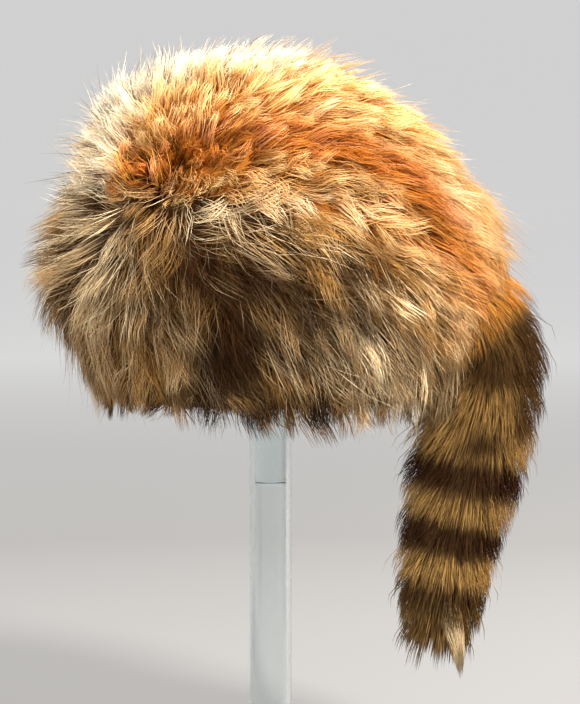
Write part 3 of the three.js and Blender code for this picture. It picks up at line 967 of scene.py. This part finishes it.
class CAP_PG_colours(bpy.types.PropertyGroup):
    gold: colour_property("Gold", "Most of the crown's fur", (0.80, 0.40, 0.085))
    gold_tip: colour_property("Gold tip", "Tips of the crown's fur", (0.98, 0.73, 0.36))
    rust: colour_property("Rust", "The streak above the seam", (0.62, 0.195, 0.018))
    russet: colour_property("Russet", "The crown's dark patches", (0.217, 0.06825, 0.0063))
    # Frost also paints the highlight at the crown's back edge
    frost: colour_property("Frost", "The frosted front", (0.92, 0.79, 0.58))
    gold_root: colour_property("Gold root", "The crown's fur near the skin", (0.42, 0.15, 0.024))
    grizzle: colour_property("Grizzle", "Most of the band's fur", (0.31, 0.145, 0.038))
    grizzle_tip: colour_property("Grizzle tip", "Tips of the band's guard hair", (0.74, 0.48, 0.19))
    guard_tip: colour_property("Guard tip", "Tips of the long hairs", (0.93, 0.76, 0.48))
    amber: colour_property("Amber", "The band's warm parts", (0.66, 0.32, 0.062))
    # Umber is the band's dark fur and also its painted shade
    umber: colour_property("Umber", "The band's dark patches", (0.04, 0.017, 0.007))
    band_root: colour_property("Band root", "The band's fur near the skin", (0.13, 0.05, 0.012))
    dun: colour_property("Dun", "Most of the tail's fur", (0.4275, 0.25125, 0.07875))
    buff: colour_property("Buff", "The tail's pale rings", (0.57, 0.335, 0.105))
    ring: colour_property("Ring", "The tail's dark rings", (0.042, 0.0135, 0.006))
    suede: colour_property("Suede", "The cap's leather", (0.58, 0.41, 0.23))


class CAP_PG_stage(bpy.types.PropertyGroup):
    elevation: bpy.props.FloatProperty(
        name="Camera elevation",
        description="Angle that the camera looks down by",
        default=math.radians(7),
        subtype="ANGLE",
    )
    distance: length_property("Camera distance", "From the stand's axis to the camera", 2.2)
    view_height: length_property(
        "View height", "How much of the stand's plane the picture's long side takes in", 0.4224
    )
    backdrop: colour_property("Backdrop", "The floor and the wall behind", (0.24, 0.24, 0.24))


def settings():
    """The settings of the fur, the colours and the stage."""
    scene = bpy.context.scene
    return scene.cap_fur, scene.cap_colours, scene.cap_stage


def finished(obj, slot, *nodes):
    """The piece rides on the part's body and stands for its solids. The slot is not used."""
    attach(obj, "root")
    if nodes:
        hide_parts(*nodes)
    return obj


# Pieces


class CAP_OT_leather(bpy.types.Operator):
    """Adds the leather crown and band"""

    bl_idname = "cap.leather"
    bl_label = "Leather"

    def execute(self, context):
        """Each wall is the form's surface over azimuth and rise, and the same surface moved in by the
        leather's thickness."""
        suede = leather_material(settings()[1].suede)
        azimuth = round_angles(AROUND)[None]
        seam = rise_of(seam_height(azimuth))
        spans = {
            "band_leather": (rise_of(np.full_like(azimuth, RIM)), seam - 0.002, 20),
            "crown_leather": (seam + 0.002, np.full_like(azimuth, NEAR_TOP), 34),
        }
        for name, (low, high, rows) in spans.items():
            rise = mix(low, high, np.linspace(0, 1, rows)[:, None])
            outer = leather_point(np.broadcast_to(azimuth, rise.shape), rise)
            normal = form_normal(outer)
            wall = closed_wall(name + "_skin", outer, outer - normal * LEATHER, suede)
            finished(wall, "leather", name)
        return {"FINISHED"}


def underfur(name, low, high, rows, share, colours):
    """Dense underfur: a wall from just off the leather to a share of the pile. The share swells and
    sinks by two waves multiplied, one round the cap and up it and one up it that bends, and the wall
    is thin at the whorls."""
    azimuth = round_angles(AROUND)[None]
    rise = mix(low(azimuth), high(azimuth), np.linspace(0, 1, rows)[:, None])
    around = np.broadcast_to(azimuth, rise.shape)
    skin = leather_point(around, rise)
    normal = form_normal(skin)
    lumps = np.sin(23 * around + 9 * rise) * np.sin(17 * rise + 5 * np.sin(3 * around))
    thin = mix(0.35, 1, smooth(from_whorl(skin), 0, 24))
    depth = pile_depth(skin) * (share + UNDERFUR_LUMPS * lumps) * thin
    outer = skin + normal * depth[..., None]
    return closed_wall(name, outer, skin + normal * UNDERFUR_GAP, underfur_material(name, *colours))


def coat(name, count, radius):
    """One coat's column of the table, with its number of roots and its strands' radius."""
    look = {key: row[COAT_NAMES.index(name)] for key, row in COATS.items()}
    return dict(look, count=int(count * look["roots"]), radius=radius / MM * look["girth"])


def near_and_far(name, slot, look, belongs, colours, seed):
    """A coat's two halves in one fur, each a piece of its own with its own strands."""
    material = fur_material(slot)
    for side, half in ((-1, "near"), (1, "far")):
        piece = cap_fur(
            f"{name}_{half}",
            material,
            look,
            lambda p: belongs(p) & (p[:, 1] * side > 0),
            colours,
            seed + side,
        )
        finished(piece, slot)


class CAP_OT_crown_fur(bpy.types.Operator):
    """Adds the golden fur of the crown"""

    bl_idname = "cap.crown_fur"
    bl_label = "Crown fur"

    def execute(self, context):
        """Underfur from the seam to the top, and a coat over it in two halves."""
        fur, colours, _ = settings()
        base = underfur(
            "crown_underfur",
            lambda a: rise_of(seam_height(a)) + 0.003,
            lambda a: np.full_like(a, NEAR_TOP),
            40,
            0.5,
            (rgba(colours.gold_root), rgba(colours.rust, 0.5)),
        )
        finished(base, "golden_fur", "crown_fur")
        look = coat("crown", fur.crown_strands, fur.strand_radius)
        near_and_far("crown_fur", "golden_fur", look, lambda p: above_seam(p) > -2, crown_colours, 10)
        return {"FINISHED"}


class CAP_OT_band_fur(bpy.types.Operator):
    """Adds the grizzled fur of the side band and its fringe"""

    bl_idname = "cap.band_fur"
    bl_label = "Band fur"

    def execute(self, context):
        """Underfur from the rim to the seam, and a coat over it in two halves."""
        fur, colours, _ = settings()
        base = underfur(
            "band_underfur",
            lambda a: rise_of(np.full_like(a, RIM + 1.0)),
            lambda a: rise_of(seam_height(a)) - 0.003,
            26,
            0.45,
            (rgba(colours.umber), rgba(colours.band_root)),
        )
        finished(base, "grizzled_fur", "band_fur")
        look = coat("band", fur.band_strands, fur.strand_radius)
        near_and_far("band_fur", "grizzled_fur", look, lambda p: above_seam(p) < 2, band_colours, 20)
        return {"FINISHED"}


class CAP_OT_guard_hair(bpy.types.Operator):
    """Adds the long stiff hairs that stand out from the band and the front"""

    bl_idname = "cap.guard_hair"
    bl_label = "Guard hair"

    def execute(self, context):
        """One coat over both the others."""
        fur = settings()[0]
        look = coat("guard", fur.guard_hairs, fur.guard_radius)

        def on_band_or_front(p):
            """All of the band, the frosted front of the crown, and every eighth root elsewhere."""
            return (above_seam(p) < 4) | (frosted(p) > 0.6) | (np.arange(len(p)) % 8 == 0)

        def guard_colours(path, tuft, rng):
            """About half the hairs in the band's pale patches are pale. In the frost, three hairs in
            ten are dark."""
            seen = path[-2]
            x, lift = seen_from_side(seen)
            frost = frosted(seen)
            # Dark fur with painted shade, from the band's dark patches
            umber = patch_mask(x, lift, BAND_DARK_AND_SHADE)
            crown = smooth(above_seam(seen), -4, 14) * (1 - frost)
            wisp = 1.4 * patch_mask(x, lift, BAND_PALE) * (rng.random(len(x)) < 0.55)
            warm = patch_mask(x, lift, BAND_WARM) * rng.uniform(0.6, 1, len(x))
            grey = (rng.random(len(x)) < 0.3) * smooth(frost, 0.6, 0.9)
            return {
                "warm": np.clip(warm + crown, 0, 1),
                "pale": np.clip((frost + wisp + 0.3 * tuft) * (1 - crown), 0, 1),
                "dark": np.clip(grey + 1.1 * umber - 0.2 * tuft * umber, 0, 1),
            }

        material = fur_material("guard_hair")
        piece = cap_fur("guard_hair", material, look, on_band_or_front, guard_colours, 27)
        finished(piece, "grizzled_fur")
        return {"FINISHED"}


def tail_line(t):
    """The tail's middle line: its rows joined by straight lines, then smoothed by a bell-shaped
    average over a tenth of its length. It gives places, directions, widths and depths."""
    row = np.linspace(0, 1, len(TAIL))
    t = np.clip(t, 0, 1)
    fine = np.linspace(0, 1, 400)
    bell = np.hanning(41)
    bell /= bell.sum()

    def eased(column):
        """A column of the rows, smoothed, with its ends carried on so that they stay in place."""
        raw = np.interp(fine, row, TAIL[column])
        padded = np.concatenate([2 * raw[0] - raw[20:0:-1], raw, 2 * raw[-1] - raw[-2:-22:-1]])
        return np.convolve(padded, bell, "valid")

    def read(line):
        """What a line says at t."""
        return np.interp(t, fine, line)

    x, z, width, depth = (eased(c) for c in ("x", "z", "width", "depth"))
    place = np.stack([read(x), np.zeros_like(t), read(z)], -1)
    way = np.stack([read(np.gradient(x)), np.zeros_like(t), read(np.gradient(z))], -1)
    return place, unit(way), read(width), read(depth)


def tail_surface(t, turn, share):
    """A point off the middle line: its section is an ellipse across the tail's direction."""
    middle, way, width, depth = tail_line(t)
    side = np.zeros_like(middle)
    side[..., 1] = 1
    out = unit(np.cross(side, way))
    out = out * (np.cos(turn) * width / 2 * share)[..., None]
    return middle + out + side * (np.sin(turn) * depth / 2 * share)[..., None]


def tail_paths(t, around, size, length):
    """Strands start in the core and run down the tail as they rise to its outside, by 1 - (1 - s) to
    the power 1.8 at a share s of their length. Past the tail's end they keep its direction."""
    path = []
    for s in STRAND_SHARES:
        at = t + length * s
        place = tail_surface(at, around, mix(TAIL_ROOTS, 1, 1 - (1 - s) ** 1.8) * size)
        way = tail_line(at)[1]
        path.append(place + way * (np.maximum(at - 1, 0) * TAIL_LENGTH)[..., None])
    return np.stack(path)


def tail_core(material):
    """The tail's closed core, 60 rings of 48 points: a share of the tail's surface, drawn in at both
    ends by a square root of the distance from the end."""
    along, turn = np.meshgrid(np.linspace(0, 1, 60), round_angles(48), indexing="ij")
    ends = np.sqrt(np.clip(np.minimum(along * 30, (1 - along) * 12), 0, 1))
    core = tail_surface(along, turn, TAIL_CORE * ends + 0.01)
    return closed_skin("tail_core", core, material, [core[0].mean(0), core[-1].mean(0)])


def tail_colours(path, t, rng):
    """Rings by height, a dark back at the tail's top, a dark saddle under it that fades as e to the
    power of minus a square, and the crown's gold where the tail grows out of it."""
    seen = mix(path[1], path, 0.6)
    off = seen[..., 0] - tail_line(t)[0][:, 0]
    height = seen[..., 2] + 0.2 * off + rng.normal(0, 1.5, len(t))
    rings = TAIL_RINGS[::-1]
    back = 0.8 * smooth(off, 8, 22) * smooth(seen[..., 2], 194, 206)
    saddle = (off / SADDLE_ACROSS) ** 2 + ((seen[..., 2] - SADDLE_HEIGHT) / SADDLE_UP) ** 2
    saddle = 0.95 * np.exp(-saddle)
    gold = smooth(seen[..., 2] - (seen[..., 0] + 128), -6, 12)
    dark = np.maximum(np.maximum(np.interp(height, rings["height"], rings["dark"]), back), saddle)
    return {
        "warm": gold,
        "pale": np.interp(height, rings["height"], rings["pale"]),
        "dark": np.clip(dark * (1 - gold) + rng.normal(0, 0.08, len(t)), 0, 1),
        "tone": np.clip(rng.normal(0, 0.4, len(t)), -1, 1),
    }


def lock_paths(rng):
    """The pale lock at the tail's end: strands fan out round its line by the golden angle, and draw
    together towards the tip."""
    place = np.arange(LOCK_STRANDS)
    angle, out = place * GOLDEN_ANGLE, np.sqrt((place + 0.5) / LOCK_STRANDS)
    s = STRAND_SHARES[:, None]
    spread = LOCK_SPREAD * out * (1 - 0.75 * s**1.5)
    end = LOCK_TIP[2] + 16 * rng.random(LOCK_STRANDS) ** 1.3 + 6 * out**2
    x = mix(LOCK_ROOT[0], LOCK_TIP[0], s**0.8) + spread * np.cos(angle)
    y = mix(LOCK_ROOT[1], LOCK_TIP[1], s) + spread * np.sin(angle)
    z = mix(LOCK_ROOT[2] + rng.uniform(-12, 6, LOCK_STRANDS), end, s)
    return np.stack([x, y, z], -1)


class CAP_OT_tail(bpy.types.Operator):
    """Adds the ringed tail"""

    bl_idname = "cap.tail"
    bl_label = "Tail"

    def execute(self, context):
        """A core, the strands that grow out of it down its whole length, and the lock at its end."""
        fur, colours, _ = settings()
        core = underfur_material("tail_underfur", rgba(colours.ring, 2), rgba(colours.buff, 0.45))
        finished(tail_core(core), "tail_fur", "tail")

        rng = np.random.default_rng(31)
        count = fur.tail_strands
        t = (np.arange(count) + 0.5) / count
        turn = np.arange(count) * GOLDEN_ANGLE
        tuft_t = (np.arange(TAIL_TUFTS) + 0.5) / TAIL_TUFTS
        tuft_turn = np.arange(TAIL_TUFTS) * GOLDEN_ANGLE
        centres = tail_surface(tuft_t, tuft_turn, TAIL_ROOTS)
        index = nearest(tail_surface(t, turn, TAIL_ROOTS), centres)
        uneven = 0.95 + rng.normal(0, 0.04, TAIL_TUFTS)
        inside = np.where(t > TAIL_FILLED, np.sqrt(rng.uniform(0.02, 1, count)), 1)
        reach = TAIL_REACH * (1 + rng.normal(0, 0.15, TAIL_TUFTS))
        flyaway = (rng.random(count) < TAIL_FLYAWAY) * rng.uniform(0.08, 0.3, count)
        even = smooth(t, *TAIL_EVEN)
        guide = tail_paths(tuft_t, tuft_turn, uneven, reach)
        own = tail_paths(
            t,
            turn + rng.normal(0, 0.08, count),
            uneven[index] * inside * (1 + rng.normal(0, 0.045, count)) + flyaway,
            reach[index] * mix(rng.uniform(0.7, 1.2, count), 0.95, 0.8 * even),
        )
        pull = TAIL_PULL * (inside == 1)
        path = eased_into_box(tufted(own, guide, index, pull, rng, TAIL_LOOSE))
        values = tail_colours(path, t, rng)
        material = fur_material("tail_fur")
        radius = fur.strand_radius / MM * TAIL_GIRTH * rng.uniform(0.7, 1.3, count) * (1 + 0.7 * even)
        finished(strands("tail_fur", path, radius, values, material), "tail_fur")

        path = lock_paths(rng)
        tone = np.clip(rng.normal(0, 0.5, LOCK_STRANDS), -1, 1)
        values = {"warm": 0.0, "pale": 0.85, "dark": 0.0, "tone": tone}
        material = fur_material("tail_tip_fur")
        lock = strands("tail_tip_lock", path, radius[:LOCK_STRANDS], values, material)
        finished(lock, "tail_fur")
        return {"FINISHED"}


class CAP_OT_stand(bpy.types.Operator):
    """Adds the clear tube, its foot and the hidden pad"""

    bl_idname = "cap.stand"
    bl_label = "Stand"

    def execute(self, context):
        """Each piece is a profile turned round the stand's axis, and the pad's top follows the leather
        above it. Light passes the tube and the foot, so they cast no shadow."""
        clear = acrylic_material()
        tube = [
            (TUBE_BORE, TUBE_LOW),
            (TUBE_RADIUS - EDGE, TUBE_LOW),
            (TUBE_RADIUS, TUBE_LOW + EDGE),
            (TUBE_RADIUS, TUBE_HIGH - EDGE),
            (TUBE_RADIUS - EDGE, TUBE_HIGH),
            (TUBE_BORE + EDGE, TUBE_HIGH),
            (TUBE_BORE, TUBE_HIGH - EDGE),
            (TUBE_BORE, TUBE_LOW + EDGE),
        ]
        finished(turned("clear_tube", tube, clear), "clear_acrylic", "tube")
        foot = [
            (0, 0),
            (FOOT_RADIUS - 1, 0),
            (FOOT_RADIUS, 1),
            (FOOT_RADIUS, FOOT_HEIGHT - 1.6),
            (FOOT_RADIUS - 0.5, FOOT_HEIGHT - 0.5),
            (FOOT_RADIUS - 1.6, FOOT_HEIGHT),
            (SOCKET_RADIUS + EDGE, FOOT_HEIGHT),
            (SOCKET_RADIUS, FOOT_HEIGHT - EDGE),
            (SOCKET_RADIUS, SOCKET_FLOOR),
            (0, SOCKET_FLOOR),
        ]
        finished(turned("clear_foot", foot, clear), "clear_acrylic", "foot")
        radius = np.linspace(PAD_RADIUS, 0, 18)
        under = onto_leather(np.stack([radius, 0 * radius, np.full_like(radius, TOP)], -1))
        top = under - form_normal(under) * (LEATHER + PAD_GAP)
        pad = [
            (0, PLUG_LOW),
            (PLUG_RADIUS - EDGE, PLUG_LOW),
            (PLUG_RADIUS, PLUG_LOW + EDGE),
            (PLUG_RADIUS, PAD_LOW - 0.1),
            (PAD_RADIUS - 1, PAD_LOW),
            (PAD_RADIUS, PAD_LOW + 1),
            *zip(radius, top[:, 2]),
        ]
        finished(turned("clear_pad", pad, clear), "clear_acrylic", "support_pad")
        for name in ("clear_tube", "clear_foot"):
            bpy.data.objects[name].visible_shadow = False
        return {"FINISHED"}


class CAP_OT_stage(bpy.types.Operator):
    """Adds the floor, the lights and the camera"""

    bl_idname = "cap.stage"
    bl_label = "Stage"

    def execute(self, context):
        """The backdrop is a bowl: a level floor, a quarter circle and an upright wall, carried round
        the stand's axis."""
        _, _, stage = settings()
        bend = np.linspace(0, np.pi / 2, 16)
        out = BOWL_RADIUS - COVE_RADIUS + COVE_RADIUS * np.sin(bend)
        up = COVE_RADIUS - COVE_RADIUS * np.cos(bend) + FLOOR_LEVEL
        bowl = [
            (0, FLOOR_BASE),
            (BOWL_RADIUS + BOWL_WALL, FLOOR_BASE),
            (BOWL_RADIUS + BOWL_WALL, BOWL_HEIGHT),
            (BOWL_RADIUS, BOWL_HEIGHT),
            *zip(out[::-1], up[::-1]),
            (FLOOR_RADIUS, FLOOR_LEVEL),
            (0, FLOOR_LEVEL),
        ]
        turned("studio_floor", bowl, backdrop_material(stage.backdrop))

        world = bpy.data.worlds.new("studio")
        context.scene.world = world
        world.use_nodes = True
        feed(world.node_tree, world.node_tree.nodes["Background"], {"Color": (1, 1, 1, 1), "Strength": 0.2})

        for i, row in enumerate(LIGHTS):
            light = bpy.data.lights.new(f"soft_light_{i + 1}", "AREA")
            light.size = row["size"]
            light.energy = row["power"]
            light.color = (1.0, mix(1.0, row["warmth"], 0.5), row["warmth"])
            lamp = bpy.data.objects.new(light.name, light)
            lamp.visible_transmission = False
            lamp.visible_glossy = False
            context.scene.collection.objects.link(lamp)
            place = np.array([row["x"], row["y"], row["z"]])
            lamp.location = place
            aim = LAMP_TARGET - place
            lamp.rotation_euler = (
                math.atan2(math.hypot(aim[0], aim[1]), -aim[2]),
                0,
                math.atan2(aim[1], aim[0]) - math.pi / 2,
            )

        camera = bpy.data.cameras.new("photo_camera")
        camera.sensor_width = SENSOR
        camera.lens = SENSOR * stage.distance / stage.view_height
        camera.clip_end = 50
        eye = bpy.data.objects.new("photo_camera", camera)
        context.scene.collection.objects.link(eye)
        back = np.array([0, -math.cos(stage.elevation), math.sin(stage.elevation)])
        eye.location = CAMERA_TARGET + stage.distance * back
        eye.rotation_euler = (math.pi / 2 - stage.elevation, 0, 0)
        context.scene.camera = eye
        context.scene.view_settings.view_transform = "Standard"
        return {"FINISHED"}


class CAP_PT_panel(bpy.types.Panel):
    """The cap's settings and pieces"""

    bl_idname = "CAP_PT_panel"
    bl_label = "Coonskin cap"
    bl_space_type = "VIEW_3D"
    bl_region_type = "UI"
    bl_category = "Cap"

    def draw(self, context):
        """A box for each group of settings, and a button for each piece."""
        for group in settings():
            box = self.layout.box()
            for key in group.__annotations__:
                box.prop(group, key)
        for operator in OPERATORS:
            self.layout.operator(operator.bl_idname)


GROUPS = {"cap_fur": CAP_PG_fur, "cap_colours": CAP_PG_colours, "cap_stage": CAP_PG_stage}
OPERATORS = (
    CAP_OT_leather,
    CAP_OT_crown_fur,
    CAP_OT_band_fur,
    CAP_OT_guard_hair,
    CAP_OT_tail,
    CAP_OT_stand,
    CAP_OT_stage,
)


def register():
    """Registers the classes and hangs the settings on the scene."""
    for cls in (*GROUPS.values(), *OPERATORS, CAP_PT_panel):
        bpy.utils.register_class(cls)
    for name, cls in GROUPS.items():
        setattr(bpy.types.Scene, name, bpy.props.PointerProperty(type=cls))


def unregister():
    """Takes away what register added."""
    for name in GROUPS:
        delattr(bpy.types.Scene, name)
    for cls in reversed((*GROUPS.values(), *OPERATORS, CAP_PT_panel)):
        bpy.utils.unregister_class(cls)


def main():
    """Builds every piece and the stage."""
    register()
    bpy.ops.cap.leather()
    bpy.ops.cap.crown_fur()
    bpy.ops.cap.band_fur()
    bpy.ops.cap.guard_hair()
    bpy.ops.cap.tail()
    bpy.ops.cap.stand()
    bpy.ops.cap.stage()


if __name__ == "__main__":
    main()
